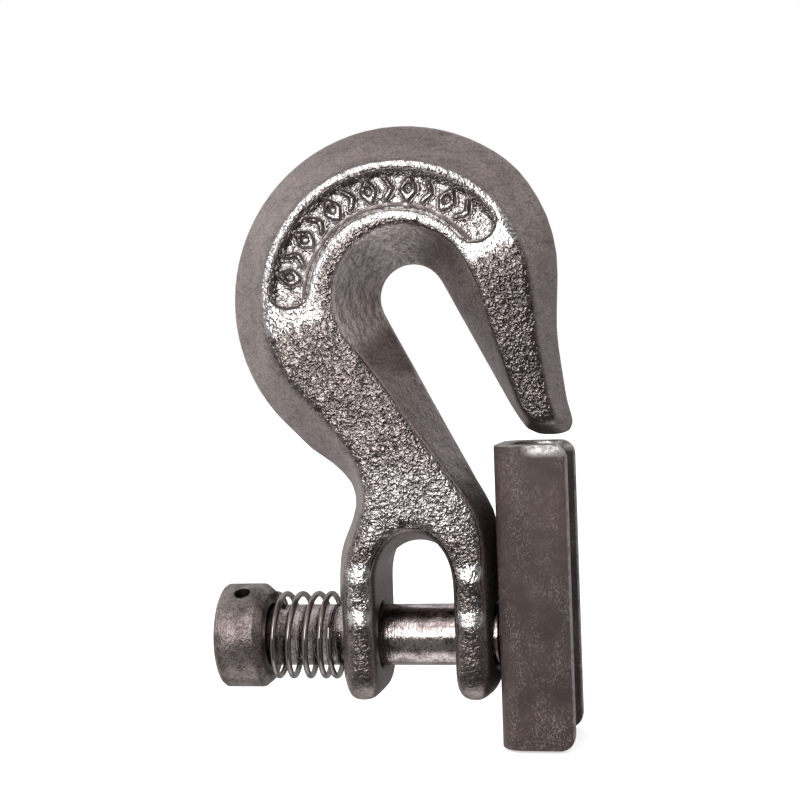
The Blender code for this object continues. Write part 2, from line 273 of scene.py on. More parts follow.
def place_piece(
    piece: bpy.types.Object, body: Body, node: str, material: bpy.types.Material
) -> None:
    """Dress a piece, put it on its body and let it stand for its CAD node.

    Args:
        piece: the finished object.
        body: the body that it rides on.
        node: the CAD node that it replaces.
        material: its finish.
    """
    piece.data.materials.clear()
    piece.data.materials.append(material)
    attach(piece, body.value)
    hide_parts(node)
    LOG.info("%s: %d faces on %s", piece.name, len(piece.data.polygons), body.value)


# ---------------------------------------------------------------------------------------------
# Node graphs and shared effects


class Graph:
    """A node tree that is being wired."""

    def __init__(self, tree: bpy.types.NodeTree) -> None:
        """Take over a node tree.

        Args:
            tree: the tree of a material, a world or a group.
        """
        self.tree = tree

    def add(self, kind: str, **settings: object) -> bpy.types.Node:
        """Add a node.

        Args:
            kind: the node's type name.
            **settings: its plain properties.

        Returns:
            The node.
        """
        node = self.tree.nodes.new(kind)
        for name, value in settings.items():
            setattr(node, name, value)
        return node

    def feed(self, target: bpy.types.NodeSocket, value: object) -> None:
        """Give a socket a link or a constant.

        Args:
            target: the socket to feed.
            value: another socket, or the constant.
        """
        if isinstance(value, bpy.types.NodeSocket):
            self.tree.links.new(value, target)
        else:
            target.default_value = value

    def math(
        self, operation: str, first: object, second: object = 0.0, clamp: bool = False
    ) -> bpy.types.NodeSocket:
        """A Math node.

        Args:
            operation: the Math node's operation.
            first: its first value or socket.
            second: its second value or socket.
            clamp: keep the result within 0 and 1.

        Returns:
            The result's socket.
        """
        node = self.add("ShaderNodeMath", operation=operation, use_clamp=clamp)
        self.feed(node.inputs[0], first)
        self.feed(node.inputs[1], second)
        return node.outputs[0]

    def spread(
        self, value: object, low: float, high: float, start: float = 0.0, end: float = 1.0
    ) -> bpy.types.NodeSocket:
        """A clamped Map Range from low..high to start..end.

        Args:
            value: what is mapped.
            low: the value that gives start.
            high: the value that gives end.
            start: the first result.
            end: the last result.

        Returns:
            The result's socket.
        """
        node = self.add("ShaderNodeMapRange", interpolation_type="SMOOTHSTEP")
        for socket, number in zip(node.inputs, (value, low, high, start, end)):
            self.feed(socket, number)
        return node.outputs[0]

    def mix(self, share: object, first: object, second: object, blend: str = "MIX") -> bpy.types.NodeSocket:
        """A colour Mix node.

        Args:
            share: how much of the second colour shows.
            first: the first colour or socket.
            second: the second colour or socket.
            blend: the blend type.

        Returns:
            The mixed colour's socket.
        """
        node = self.add("ShaderNodeMix", data_type="RGBA", blend_type=blend)
        self.feed(node.inputs[0], share)
        for socket, colour in ((node.inputs[6], first), (node.inputs[7], second)):
            self.feed(socket, (*colour, 1.0) if isinstance(colour, tuple) else colour)
        return node.outputs[2]

    def grain(
        self, vector: object, scale: object, detail: float = 2.0, distortion: float = 0.0
    ) -> bpy.types.NodeSocket:
        """A Noise texture's value.

        Args:
            vector: the coordinates.
            scale: cells for each metre.
            detail: octaves of finer noise.
            distortion: how far the noise bends itself.

        Returns:
            The value's socket.
        """
        node = self.add("ShaderNodeTexNoise", noise_dimensions="3D")
        self.feed(node.inputs["Vector"], vector)
        self.feed(node.inputs["Scale"], scale)
        self.feed(node.inputs["Detail"], detail)
        self.feed(node.inputs["Distortion"], distortion)
        return node.outputs[0]

    def attribute(self, name: str) -> bpy.types.NodeSocket:
        """The value of a piece's own attribute."""
        return self.add("ShaderNodeAttribute", attribute_name=name).outputs["Fac"]

    def objects(self, stretch: tuple[float, float, float] = (1.0, 1.0, 1.0)) -> bpy.types.NodeSocket:
        """Object coordinates, stretched by a Mapping node.

        Args:
            stretch: the scale along each axis.

        Returns:
            The vector's socket.
        """
        coords = self.add("ShaderNodeTexCoord").outputs["Object"]
        mapping = self.add("ShaderNodeMapping")
        self.feed(mapping.inputs["Vector"], coords)
        self.feed(mapping.inputs["Scale"], stretch)
        return mapping.outputs[0]

    def call(self, group: bpy.types.NodeTree, **inputs: object) -> bpy.types.Node:
        """Place a shared group.

        Args:
            group: the group's node tree.
            **inputs: what its inputs get, by name.

        Returns:
            The group node.
        """
        node = self.add("ShaderNodeGroup", node_tree=group)
        for name, value in inputs.items():
            self.feed(node.inputs[name], value)
        return node


class Effects:
    """The shader groups that several finishes share."""

    def __init__(self) -> None:
        """Build each group once."""
        self.pebble = self.make("pebbled_skin", ("Height", "Pit"), self.wire_pebble)
        self.mottle = self.make("mottled_scale", ("Patch", "Speck"), self.wire_mottle)
        self.rub_and_glint = self.make("rubbed_edge_highlight", ("Mask",), self.wire_rub_and_glint)

    @staticmethod
    def make(
        name: str, outputs: Iterable[str], wire: Callable[[Graph, bpy.types.Node, bpy.types.Node], None]
    ) -> bpy.types.NodeTree:
        """Make a group with Vector, Scale and Amount inputs.

        Args:
            name: the group's name.
            outputs: the names of its value outputs.
            wire: the function that wires its inside.

        Returns:
            The group's node tree.
        """
        tree = bpy.data.node_groups.new(name, "ShaderNodeTree")
        tree.interface.new_socket("Vector", in_out="INPUT", socket_type="NodeSocketVector")
        for label in ("Scale", "Amount"):
            tree.interface.new_socket(label, in_out="INPUT", socket_type="NodeSocketFloat")
        for label in outputs:
            tree.interface.new_socket(label, in_out="OUTPUT", socket_type="NodeSocketFloat")
        graph = Graph(tree)
        wire(graph, graph.add("NodeGroupInput"), graph.add("NodeGroupOutput"))
        return tree

    @staticmethod
    def wire_pebble(graph: Graph, given: bpy.types.Node, result: bpy.types.Node) -> None:
        """Orange-peel hammer skin: broad pebbles with a finer tooth on them.

        Args:
            graph: the group being wired.
            given: its input node.
            result: its output node.
        """
        vector, scale, amount = given.outputs[0], given.outputs[1], given.outputs[2]
        broad = graph.grain(vector, scale, 1.0, 0.9)
        fine = graph.grain(vector, graph.math("MULTIPLY", scale, 2.1), 1.0, 0.4)
        both = graph.math("ADD", graph.math("MULTIPLY", broad, 0.74), graph.math("MULTIPLY", fine, 0.26))
        graph.feed(result.inputs[0], graph.math("MULTIPLY", both, amount))
        graph.feed(result.inputs[1], graph.spread(both, 0.52, 0.36))

    @staticmethod
    def wire_mottle(graph: Graph, given: bpy.types.Node, result: bpy.types.Node) -> None:
        """Cloudy patches of scale, and small bright specks where it has flaked.

        Args:
            graph: the group being wired.
            given: its input node.
            result: its output node.
        """
        vector, scale, amount = given.outputs[0], given.outputs[1], given.outputs[2]
        cloud = graph.grain(vector, scale, 5.0, 0.4)
        specks = graph.grain(vector, graph.math("MULTIPLY", scale, 9.0), 2.0, 0.0)
        graph.feed(result.inputs[0], graph.math("MULTIPLY", graph.spread(cloud, 0.34, 0.68), amount))
        graph.feed(result.inputs[1], graph.math("MULTIPLY", graph.spread(specks, 0.60, 0.72), amount))

    @staticmethod
    def wire_rub_and_glint(graph: Graph, given: bpy.types.Node, result: bpy.types.Node) -> None:
        """A rubbed edge with a painted highlight on it: the given amount, broken up by noise.

        Args:
            graph: the group being wired.
            given: its input node.
            result: its output node.
        """
        vector, scale, amount = given.outputs[0], given.outputs[1], given.outputs[2]
        broken = graph.spread(graph.grain(vector, scale, 4.0, 0.5), 0.32, 0.62, 0.25, 1.0)
        graph.feed(result.inputs[0], graph.math("MULTIPLY", amount, broken, clamp=True))


# ---------------------------------------------------------------------------------------------
# Finishes


def new_material(name: str) -> tuple[bpy.types.Material, Graph, bpy.types.Node]:
    """Start a metal.

    Args:
        name: the material's name.

    Returns:
        The material, its graph and its shader.
    """
    material = bpy.data.materials.new(name)
    material.use_nodes = True
    graph = Graph(material.node_tree)
    shader = material.node_tree.nodes["Principled BSDF"]
    shader.inputs["Metallic"].default_value = 1.0
    return material, graph, shader


def add_bump(graph: Graph, shader: bpy.types.Node, height: object, depth: float, strength: float = 1.0) -> None:
    """Feed a height to the shader's normal.

    Args:
        graph: the material's graph.
        shader: the shader that gets the normal.
        height: the height's socket, about 0 to 1.
        depth: how deep a height of 1 is, in metres.
        strength: the bump's strength.
    """
    bump = graph.add("ShaderNodeBump")
    graph.feed(bump.inputs["Height"], height)
    graph.feed(bump.inputs["Distance"], depth)
    graph.feed(bump.inputs["Strength"], strength)
    graph.feed(shader.inputs["Normal"], bump.outputs[0])


@dataclass(frozen=True)
class ForgedFinish:
    """Drop-forged steel: pebbled faces, smoother flanks, rubbed lands and rims with painted highlights, painted
    shade, and a painted highlight in the slot.
    """

    flank: Colour = (0.330, 0.272, 0.260)
    face: Colour = (0.225, 0.193, 0.185)
    # the pits' colour, also used for the painted shade
    pit_and_shade: Colour = (0.032, 0.026, 0.025)
    # the colour of the painted highlight in the slot
    slot_highlight: Colour = (0.66, 0.59, 0.575)
    # colour of the rubbed edges and lands, and of their painted highlight
    bright: Colour = (0.66, 0.64, 0.63)
    pebbles: float = 1150.0
    depth: float = 0.42 * MM

    def material(self, effects: Effects) -> bpy.types.Material:
        """Build the finish.

        Args:
            effects: the shared groups.

        Returns:
            The material.
        """
        material, graph, shader = new_material("forged_steel_skin")
        coords = graph.objects()
        skin = graph.attribute("skin")
        land_highlight = graph.attribute("land_highlight")
        pebble = graph.call(effects.pebble, Vector=coords, Scale=self.pebbles, Amount=1.0)
        mottle = graph.call(effects.mottle, Vector=coords, Scale=170.0, Amount=1.0)
        # rubbed edges with a painted edge highlight
        rub_and_glint = graph.call(effects.rub_and_glint, Vector=coords, Scale=900.0, Amount=graph.attribute("rim"))
        colour = graph.mix(skin, self.flank, self.face)
        colour = graph.mix(graph.math("MULTIPLY", mottle.outputs["Patch"], 0.26), colour, self.pit_and_shade)
        brushed = graph.grain(graph.objects((420.0, 420.0, 1300.0)), 1.0, 4.0, 0.6)
        colour = graph.mix(graph.spread(brushed, 0.50, 0.68, 0.0, 0.30), colour, self.pit_and_shade)
        dust = graph.spread(graph.grain(coords, 2600.0, 2.0), 0.35, 0.65, 0.0, 0.42)
        colour = graph.mix(dust, colour, self.pit_and_shade)
        pits = graph.math("MULTIPLY", pebble.outputs["Pit"], graph.spread(skin, 0.0, 1.0, 0.10, 0.70))
        colour = graph.mix(pits, colour, self.pit_and_shade)
        flow = graph.grain(graph.objects((1500.0, 1500.0, 420.0)), 1.0, 4.0, 0.8)
        streaks = graph.spread(flow, 0.34, 0.66, 1.0, 0.25)
        # painted highlight on the slot's round top and lower wall, streaked along it
        colour = graph.mix(graph.math("MULTIPLY", graph.attribute("slot_highlight"), streaks), colour, self.slot_highlight)
        # painted shade on the jaw, the ears' feet, the shank, the inner cheeks and the pocket's outer wall
        colour = graph.mix(graph.attribute("painted_shade"), colour, self.pit_and_shade)
        # rubbed edges and lands painted bright: partly wear, partly painted highlight
        wear_and_highlight = graph.math("MAXIMUM", rub_and_glint.outputs["Mask"], land_highlight, clamp=True)
        wear_and_highlight = graph.math("MULTIPLY", wear_and_highlight, graph.spread(pebble.outputs["Pit"], 0.2, 0.9, 1.0, 0.35))
        colour = graph.mix(wear_and_highlight, colour, self.bright)
        graph.feed(shader.inputs["Base Color"], colour)
        rough = graph.spread(skin, 0.0, 1.0, 0.44, 0.16)
        rough = graph.math("SUBTRACT", rough, graph.math("MULTIPLY", wear_and_highlight, 0.03))
        graph.feed(shader.inputs["Roughness"], rough)
        tooth = graph.spread(skin, 0.0, 1.0, 0.22, 1.0)
        tooth = graph.math("ADD", tooth, graph.math("MULTIPLY", graph.attribute("slot_highlight"), 0.30))
        flattened = graph.math("SUBTRACT", 1.0, graph.math("MULTIPLY", land_highlight, 0.45))
        height = graph.math("MULTIPLY", graph.math("MULTIPLY", pebble.outputs["Height"], tooth), flattened)
        add_bump(graph, shader, height, self.depth)
        return material


@dataclass(frozen=True)
class TurnedFinish:
    """Lathe-turned steel with fine rings round the X axis."""

    name: str
    base: Colour
    dark: Colour
    roughness: float
    ring: float = 5200.0
    tooth: float = 0.0
    depth: float = 0.02 * MM

    def material(self, effects: Effects) -> bpy.types.Material:
        """Build the finish.

        Args:
            effects: the shared groups.

        Returns:
            The material.
        """
        material, graph, shader = new_material(self.name)
        rings = graph.grain(graph.objects((self.ring, 90.0, 90.0)), 1.0, 3.0)
        mottle = graph.call(effects.mottle, Vector=graph.objects(), Scale=260.0, Amount=1.0)
        pebble = graph.call(effects.pebble, Vector=graph.objects(), Scale=1700.0, Amount=1.0)
        shade = graph.math("MULTIPLY", mottle.outputs["Patch"], 0.80)
        shade = graph.math("ADD", shade, graph.math("MULTIPLY", pebble.outputs["Pit"], self.tooth), clamp=True)
        colour = graph.mix(shade, self.base, self.dark)
        graph.feed(shader.inputs["Base Color"], colour)
        rough = graph.spread(rings, 0.3, 0.7, self.roughness - 0.05, self.roughness + 0.07)
        graph.feed(shader.inputs["Roughness"], rough)
        height = graph.mix(self.tooth, rings, pebble.outputs["Height"])
        add_bump(graph, shader, height, self.depth * (1.0 + 5.0 * self.tooth))
        return material


@dataclass(frozen=True)
class ScaleFinish:
    """Hot-rolled sheet: dark mottled mill scale, rubbed on its edges and painted bright there as a highlight.
    """

    base: Colour = (0.052, 0.036, 0.033)
    dark: Colour = (0.026, 0.018, 0.0165)
    light: Colour = (0.150, 0.122, 0.115)
    # flaked specks, and the rubbed edges with their painted highlight
    bright: Colour = (0.60, 0.58, 0.57)

    def material(self, effects: Effects) -> bpy.types.Material:
        """Build the finish.

        Args:
            effects: the shared groups.

        Returns:
            The material.
        """
        material, graph, shader = new_material("mill_scale_sheet_skin")
        coords = graph.objects()
        broad = graph.call(effects.mottle, Vector=coords, Scale=95.0, Amount=1.0)
        small = graph.call(effects.mottle, Vector=coords, Scale=620.0, Amount=1.0)
        streak = graph.grain(graph.objects((4200.0, 4200.0, 2600.0)), 1.0, 4.0)
        cloud = graph.grain(graph.objects((190.0, 190.0, 90.0)), 1.0, 4.0)
        rub_and_glint = graph.call(effects.rub_and_glint, Vector=coords, Scale=900.0, Amount=graph.attribute("rim"))
        pebble = graph.call(effects.pebble, Vector=coords, Scale=900.0, Amount=1.0)
        colour = graph.mix(graph.math("MULTIPLY", broad.outputs["Patch"], 0.7), self.base, self.dark)
        fleck = graph.spread(streak, 0.46, 0.70)
        fleck = graph.math("MULTIPLY", fleck, graph.spread(cloud, 0.38, 0.66))
        colour = graph.mix(fleck, colour, self.light)
        colour = graph.mix(graph.math("MULTIPLY", small.outputs["Patch"], 0.45), colour, self.dark)
        colour = graph.mix(graph.math("MULTIPLY", small.outputs["Speck"], 0.06), colour, self.bright)
        # rubbed edges painted bright: wear with a painted highlight
        colour = graph.mix(rub_and_glint.outputs["Mask"], colour, self.bright)
        graph.feed(shader.inputs["Base Color"], colour)
        shader.inputs["Specular IOR Level"].default_value = 0.18
        graph.feed(shader.inputs["Metallic"], graph.spread(rub_and_glint.outputs["Mask"], 0.0, 0.6, 0.0, 1.0))
        rough = graph.spread(broad.outputs["Patch"], 0.0, 1.0, 0.42, 0.50)
        rough = graph.math("SUBTRACT", rough, graph.math("MULTIPLY", rub_and_glint.outputs["Mask"], 0.1))
        graph.feed(shader.inputs["Roughness"], rough)
        add_bump(graph, shader, pebble.outputs["Height"], 0.05 * MM)
        return material


PIN_FINISH = TurnedFinish(
    "turned_steel_skin", (0.46, 0.40, 0.39), (0.13, 0.105, 0.10), 0.15, tooth=0.60, depth=0.016 * MM
)
COLLAR_FINISH = TurnedFinish(
    "collar_steel_skin", (0.25, 0.208, 0.198), (0.085, 0.070, 0.066), 0.36, tooth=0.6, depth=0.06 * MM
)
WIRE_FINISH = TurnedFinish("spring_wire_skin", (0.23, 0.20, 0.19), (0.13, 0.11, 0.105), 0.17, ring=900.0)
ROLL_FINISH = TurnedFinish("spring_pin_steel_skin", (0.08, 0.07, 0.07), (0.04, 0.035, 0.035), 0.4)
WASHER_FINISH = TurnedFinish("washer_steel_skin", (0.30, 0.28, 0.27), (0.12, 0.11, 0.10), 0.36)


# ---------------------------------------------------------------------------------------------
# Pieces


@dataclass(frozen=True)
class Places:
    """Where a forging's vertices lie: in mm, round the bow in mm and degrees, and how they face."""

    across: np.ndarray
    depth: np.ndarray
    height: np.ndarray
    radius: np.ndarray
    turn: np.ndarray
    facing: np.ndarray

    def span(self) -> np.ndarray:
        """The stretch of the bow that holds the pocket, dimmer towards its low end."""
        span = fade(self.turn, 21.0, 28.0) * fade(self.turn, 197.0, 189.0)
        return span * (1.0 - 0.45 * fade(self.turn, 166.0, 182.0))

    def walls(self) -> tuple[np.ndarray, np.ndarray]:
        """The shares of the pocket's inner and outer wall.

        Returns:
            One share for each vertex, first for the inner wall and then for the outer one.
        """
        zone = (self.depth < 9.75) * (self.radius > 15.7) * (self.radius < 23.3) * self.span()
        inner = zone * fade(self.radius, 17.4, 16.9)
        outer = zone * fade(self.radius, 21.2, 21.9)
        return np.clip(inner, 0.0, 1.0), np.clip(outer, 0.0, 1.0)

    def painted_shade(self) -> np.ndarray:
        """How much shade is painted on the jaw, the ears' feet, the shank and the inner cheeks.

        Returns:
            One share for each vertex.
        """
        jaw = fade(self.across, 12.0, 18.0) * fade(self.height, 72.0, 64.0)
        feet = fade(self.height, 3.0, -2.0) * fade(self.height, -9.5, -6.5)
        shank = fade(self.height, 34.0, 46.0) * fade(self.height, 60.0, 54.0)
        faces = np.maximum(np.maximum(0.36 * jaw, 0.40 * feet), 0.20 * shank)
        cheek = fade(np.abs(self.across), 9.0, 8.0) * fade(self.height, 14.0, 8.0)
        cheek *= fade(self.facing, 0.5, 0.2)
        return np.maximum(faces * fade(self.facing, 0.6, 0.9), 0.55 * cheek)

    def slot_highlight(self, rightward: np.ndarray) -> np.ndarray:
        """Where a highlight is painted in the slot: its round top and its long lower wall.

        Args:
            rightward: how far each vertex faces along +X.

        Returns:
            One share for each vertex.
        """
        sideways = fade(self.facing, 0.95, 0.80)
        top = fade(self.radius, 13.6, 12.2) * sideways * fade(self.facing, 0.15, 0.45)
        top *= fade(self.turn, 45.0, 75.0) * fade(self.turn, 245.0, 215.0)
        wall = fade(rightward, 0.15, 0.45) * (self.across < 20.0) * fade(self.height, 19.0, 26.0)
        wall *= fade(self.height, 60.0, 52.0) * sideways * fade(self.radius, 12.0, 14.0)
        return np.maximum(top, 0.42 * wall)


@dataclass
class Forging:
    """The drop-forged hook: softened edges, a marked pocket and a pebbled skin."""

    voxel: float = 0.36 * MM
    pocket_centre: Vector = field(default_factory=lambda: Vector((-1.0, 0.0, 60.6)) * MM)
    pocket_inner: float = 15.8 * MM
    pocket_outer: float = 23.2 * MM
    pocket_floor: float = 9.1 * MM
    wave_rise: float = 0.10 * MM
    wave_scale: float = 160.0
    pebble_rise: float = 0.10 * MM
    pebble_scale: float = 620.0
    wall_width: float = 1.5 * MM
    wall_rise: float = 0.75 * MM
    land_level: float = 9.5 * MM
    mark_radius: float = 19.5 * MM
    bar_width: float = 0.70 * MM
    bar_rise: float = 0.95 * MM
    ear_top: float = 22.0 * MM
    ear_pads: tuple[tuple[float, float], ...] = ((-9.2, 12.4), (-9.5, 4.6), (10.9, 12.4), (10.6, 4.4))
    ear_half: float = 3.2 * MM
    pad_rise: float = 0.34 * MM
    pad_hollow: float = 0.22 * MM
    mark_turns: tuple[float, ...] = tuple(166.0 - 10.6 * i for i in range(12))
    mark_order: tuple[Mark, ...] = (Mark.LOZENGE, Mark.CHEVRON)

    def raise_marks(self, bm: bmesh.types.BMesh) -> None:
        """Stand the generic devices on the pocket's floor, on both faces.

        Args:
            bm: the forging, which gains one closed shell for each bar.
        """
        for side in (-1.0, 1.0):
            for index, turn in enumerate(self.mark_turns):
                outward = math.radians(turn)
                for across, up, length, lean in self.mark_order[index % len(self.mark_order)].value:
                    self.add_bar(bm, side, outward, Vector((across, up)) * MM, length * MM, math.radians(lean))

    def add_bar(
        self, bm: bmesh.types.BMesh, side: float, outward: float, offset: Vector, length: float, lean: float
    ) -> None:
        """Add one raised bar.

        Args:
            bm: the forging.
            side: -1 for the front face, 1 for the back.
            outward: the mark's turn round the bow.
            offset: the bar's place in its mark, across and up.
            length: its length.
            lean: its turn within the mark.
        """
        radial = Vector((math.cos(outward), 0.0, math.sin(outward)))
        across = Vector((math.sin(outward), 0.0, -math.cos(outward)))
        middle = self.pocket_centre + radial * (self.mark_radius + offset.y) + across * offset.x
        middle.y = side * (self.pocket_floor + self.bar_rise / 2 - 0.2 * MM)
        along = across * math.cos(lean) + radial * math.sin(lean)
        depth = Vector((0.0, 1.0, 0.0))
        breadth = depth.cross(along)
        turn = Matrix((along, depth, breadth)).transposed().to_4x4()
        size = Matrix.Diagonal((length, self.bar_rise + 0.4 * MM, self.bar_width, 1.0))
        bmesh.ops.create_cube(bm, size=1.0, matrix=Matrix.Translation(middle) @ turn @ size)

    def soften(self, bm: bmesh.types.BMesh) -> None:
        """Round the edges as the dies leave them: the ears most, the marks least.

        Args:
            bm: the remeshed forging.
        """
        everywhere = list(bm.verts)
        unmarked = [v for v in everywhere if not self.in_pocket(v.co)]
        ears = [v for v in everywhere if v.co.z < self.ear_top]
        rims = [v for v in unmarked if self.on_outer_rim(v.co)]
        for verts, rounds in ((everywhere, 1), (unmarked, 5), (rims, 18), (ears, 28)):
            for _ in range(rounds):
                bmesh.ops.smooth_vert(
                    bm, verts=verts, factor=0.5, use_axis_x=True, use_axis_y=True, use_axis_z=True
                )

    def in_pocket(self, place: Vector) -> bool:
        """Whether a point lies over the pocket's floor, where the marks stand."""
        arm = place - self.pocket_centre
        radius = math.hypot(arm.x, arm.z)
        near_face = abs(place.y) > 8.6 * MM and arm.z > -2.0 * MM
        return near_face and self.pocket_inner < radius < self.pocket_outer

    def wall_share(self, place: Vector) -> float:
        """How far up the pocket's sloping wall a point of its floor lies, from 0 to 1."""
        arm = place - self.pocket_centre
        radius = math.hypot(arm.x, arm.z)
        outer = 1.0 - (self.pocket_outer - radius) / self.wall_width
        inner = 1.0 - (radius - self.pocket_inner) / self.wall_width
        return min(1.0, max(0.0, outer, inner))

    def on_outer_rim(self, place: Vector) -> bool:
        """Whether a point lies on the rim between the bow's face and its outer flank."""
        arm = place - self.pocket_centre
        return abs(place.y) > 6.5 * MM and math.hypot(arm.x, arm.z) > self.pocket_outer

    def swell(self, bm: bmesh.types.BMesh) -> None:
        """Give the faces a hammered waviness, and the ears their two raised pads.

        Args:
            bm: the softened forging.
        """
        for vert in bm.verts:
            flat = max(0.0, abs(vert.normal.y) - 0.6) / 0.4
            if not flat:
                continue
            side = math.copysign(1.0, vert.co.y)
            lift = self.wave_rise * noise.noise(vert.co * self.wave_scale) * flat
            lift += self.pebble_rise * noise.noise(vert.co * self.pebble_scale) * max(0.0, flat - 0.5)
            if abs(vert.co.y) < self.land_level and self.in_pocket(vert.co):
                lift += self.wall_rise * self.wall_share(vert.co)
            for x, z in self.ear_pads:
                across, rise = (vert.co.x - x * MM) / self.ear_half, (vert.co.z - z * MM) / MM
                if abs(across) < 1.6:
                    lift += self.pad_rise * math.exp(-across * across - (rise + 1.3) ** 2 / 3.6) * flat
                    share = max(0.0, 1.0 - max(0.0, vert.co.z / MM - 6.0) / 8.0) / 2.0
                    lift -= self.pad_hollow * across * across * share * flat
            vert.co.y += side * lift

    def land_highlight(self, at: Places) -> np.ndarray:
        """How polished each vertex is, and how much highlight is painted on it: round the pocket, on its floor,
        on the pads and the shank.

        Args:
            at: where the vertices lie.

        Returns:
            One share for each vertex.
        """
        inner_ridge = fade(at.radius, 14.0, 14.9) * (at.radius < 19.5)
        outer_ridge = fade(at.radius, 25.0, 24.5) * fade(at.radius, 23.3, 23.8)
        ends = np.maximum(fade(at.turn, 172.0, 184.0), fade(at.turn, 48.0, 38.0))
        ends *= fade(at.radius, 13.0, 14.0) * fade(at.radius, 25.2, 24.2)
        ring = np.maximum(np.maximum(inner_ridge, outer_ridge), ends)
        flat = fade(at.facing, 0.80, 0.95)
        land_highlight = ring * at.span() * fade(at.depth, 9.30, 9.65) * flat
        inside = (at.radius > self.pocket_inner / MM) * (at.radius < self.pocket_outer / MM)
        floor = fade(at.depth, 9.6, 9.4) * inside * at.span()
        floor *= fade(at.radius, 16.9, 17.4) * fade(at.radius, 21.9, 21.2)
        land_highlight = np.maximum(land_highlight, 0.36 * np.clip(floor, 0.0, 1.0) * flat)
        outwards = fade(at.facing, 0.6, 0.85)
        for x, z in self.ear_pads:
            gap = np.hypot((at.across - x) / 1.5, at.height - z)
            land_highlight = np.maximum(land_highlight, fade(gap, 2.2, 0.8) * outwards)
        between = fade(np.abs(at.height - 8.5), 6.5, 3.0) * fade(at.across, -4.0, -7.0)
        land_highlight = np.maximum(land_highlight, 0.30 * between * outwards)
        neck = fade(at.height, 36.0, 27.0) * fade(at.height, 15.0, 21.0)
        return 0.85 * np.maximum(land_highlight, 0.16 * neck * flat)

    def paint(self, mesh: bpy.types.Mesh) -> None:
        """Store where the skin is coarse, where shade and highlights are painted on it, and where edges are
        rubbed and painted bright.

        Args:
            mesh: the finished forging.
        """
        co = vectors(mesh.vertices, "co")
        normals = vectors(mesh.vertex_normals, "vector")
        arm = co - np.array(self.pocket_centre)
        radius = np.hypot(arm[:, 0], arm[:, 2]) / MM
        turn = np.degrees(np.arctan2(arm[:, 2], arm[:, 0])) % 360.0
        across, depth, height = (co / MM).T
        at = Places(across, np.abs(depth), height, radius, turn, np.abs(normals[:, 1]))
        inner_wall, outer_wall = at.walls()
        skin = fade(at.facing, 0.72, 0.93) * (0.5 + 0.5 * fade(at.height, -4.0, 12.0))
        store(mesh, "skin", skin * (1.0 - inner_wall))
        # painted shade, with a painted shadow on the pocket's outer wall
        store(mesh, "painted_shade", np.maximum(at.painted_shade(), 0.45 * outer_wall))
        # painted highlight round the pocket, on its floor, on the ears' pads, between them and on the shank
        store(mesh, "land_highlight", self.land_highlight(at))
        # where the slot's painted highlight lies
        store(mesh, "slot_highlight", at.slot_highlight(normals[:, 0]))
        marked = (radius > 16.4) & (radius < 22.6) & (arm[:, 2] > 0.0)
        # rubbed edges with a painted highlight, where the mesh stands out
        store(mesh, "rim", fade(convexity(mesh, co, normals), 0.10, 0.34) * np.where(marked, 0.9, 0.55))

    def build(self, material: bpy.types.Material) -> bpy.types.Object:
        """Make the forging from its CAD solid.

        Args:
            material: its finish.

        Returns:
            The finished piece.
        """
        bm = cad_copy("hook_body")
        self.raise_marks(bm)
        mesh = bpy.data.meshes.new("hook_forging")
        bm.to_mesh(mesh)
        bm.free()
        piece = bpy.data.objects.new("hook_forging", mesh)
        bpy.context.scene.collection.objects.link(piece)
        remesh = piece.modifiers.new("skin", "REMESH")
        remesh.mode = "VOXEL"
        remesh.voxel_size = self.voxel
        applied(piece)
        bm = bmesh.new()
        bm.from_mesh(piece.data)
        self.soften(bm)
        bm.normal_update()
        self.swell(bm)
        bm.to_mesh(piece.data)
        bm.free()
        piece.data.shade_smooth()
        self.paint(piece.data)
        place_piece(piece, Body.HOOK, "hook_body", material)
        return piece


def convexity(mesh: bpy.types.Mesh, co: np.ndarray, normals: np.ndarray, rounds: int = 3) -> np.ndarray:
    """How sharply each vertex stands out from its neighbours, 0 where it is flat or hollow.

    Args:
        mesh: the mesh, whose edges are read.
        co: its vertex positions.
        normals: its vertex normals.
        rounds: how often the result is averaged with its neighbours.

    Returns:
        One number for each vertex.
    """
    ends = np.empty(len(mesh.edges) * 2, np.int32)
    mesh.edges.foreach_get("vertices", ends)
    first, second = ends.reshape(-1, 2).T
    way = co[second] - co[first]
    way /= np.maximum(np.linalg.norm(way, axis=1, keepdims=True), 1e-9)
    valence = np.bincount(ends, minlength=len(co)).astype(float)
    total = np.bincount(first, -(normals[first] * way).sum(1), len(co))
    total += np.bincount(second, (normals[second] * way).sum(1), len(co))
    stands = np.maximum(total / np.maximum(valence, 1.0), 0.0)
    for _ in range(rounds):
        spread = np.bincount(first, stands[second], len(co)) + np.bincount(second, stands[first], len(co))
        stands = (stands + spread / np.maximum(valence, 1.0)) / 2.0
    return stands


